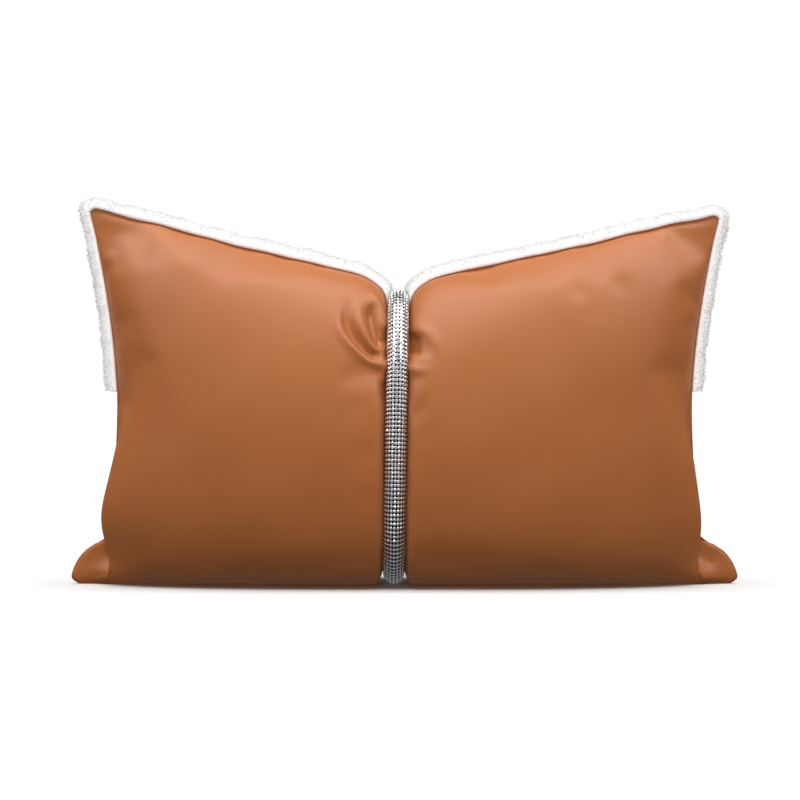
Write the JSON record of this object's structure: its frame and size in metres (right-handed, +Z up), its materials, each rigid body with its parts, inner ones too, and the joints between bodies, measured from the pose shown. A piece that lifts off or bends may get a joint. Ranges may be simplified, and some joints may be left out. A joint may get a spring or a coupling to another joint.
{
  "type": "throw pillow",
  "caption": "Lumbar throw pillow with a tan leather-look front, a white fur border, a zipped back and a crystal rope that cinches its middle.",
  "frame": {"origin": "on the floor under the middle of the pillow, which stands on its long lower edge", "axes": "+X along the pillow's length, -Y towards its leather front, +Z up"},
  "size_m": [0.5, 0.1252, 0.2856],
  "materials": {
    "tan_leather": "tan faux leather, satin, fine grain",
    "white_fur": "short dense white plush fur",
    "insert_cloth": "plain white non-woven casing",
    "polyester_fibre": "loose polyester fibre",
    "zip_tape": "brown woven tape",
    "zip_coil": "brown nylon coil",
    "zip_metal": "nickel-plated zinc",
    "black_cord": "black satin-covered cord",
    "silver_mesh": "silver-plated cup mesh",
    "crystals": "clear foiled faceted stones",
    "label_satin": "blank white satin"
  },
  "bodies": {
    "pillow": {"back_fur_panel": "white_fur", "back_leather_panel": "tan_leather", "care_label": "label_satin", "fibre_filling": "polyester_fibre", "front_leather_panel": "tan_leather", "insert_back_cloth": "insert_cloth", "insert_front_cloth": "insert_cloth", "rope_cord": "black_cord", "rope_crystals": "crystals", "rope_join_cuff": "tan_leather", "rope_metal_mesh": "silver_mesh", "zip_bottom_stop": "zip_metal", "zip_tape_lower": "zip_tape", "zip_tape_upper": "zip_tape", "zip_teeth_lower": "zip_coil", "zip_teeth_upper": "zip_coil", "zip_top_stop_lower": "zip_metal", "zip_top_stop_upper": "zip_metal"},
    "slider": {"zip_slider": "zip_metal"},
    "pull_tab": {"zip_pull_tab": "zip_metal"}
  },
  "joints": [
    {"name": "zip_slide", "type": "slide", "parent": "pillow", "child": "slider", "axis": [-1, 0, 0], "range_m": [0, 0.092]},
    {"name": "pull_swing", "type": "hinge", "parent": "slider", "child": "pull_tab", "pos_m": [0.12575, 0.05565, 0.144], "axis": [0, 0, -1], "range_deg": [0, 170]}
  ]
}
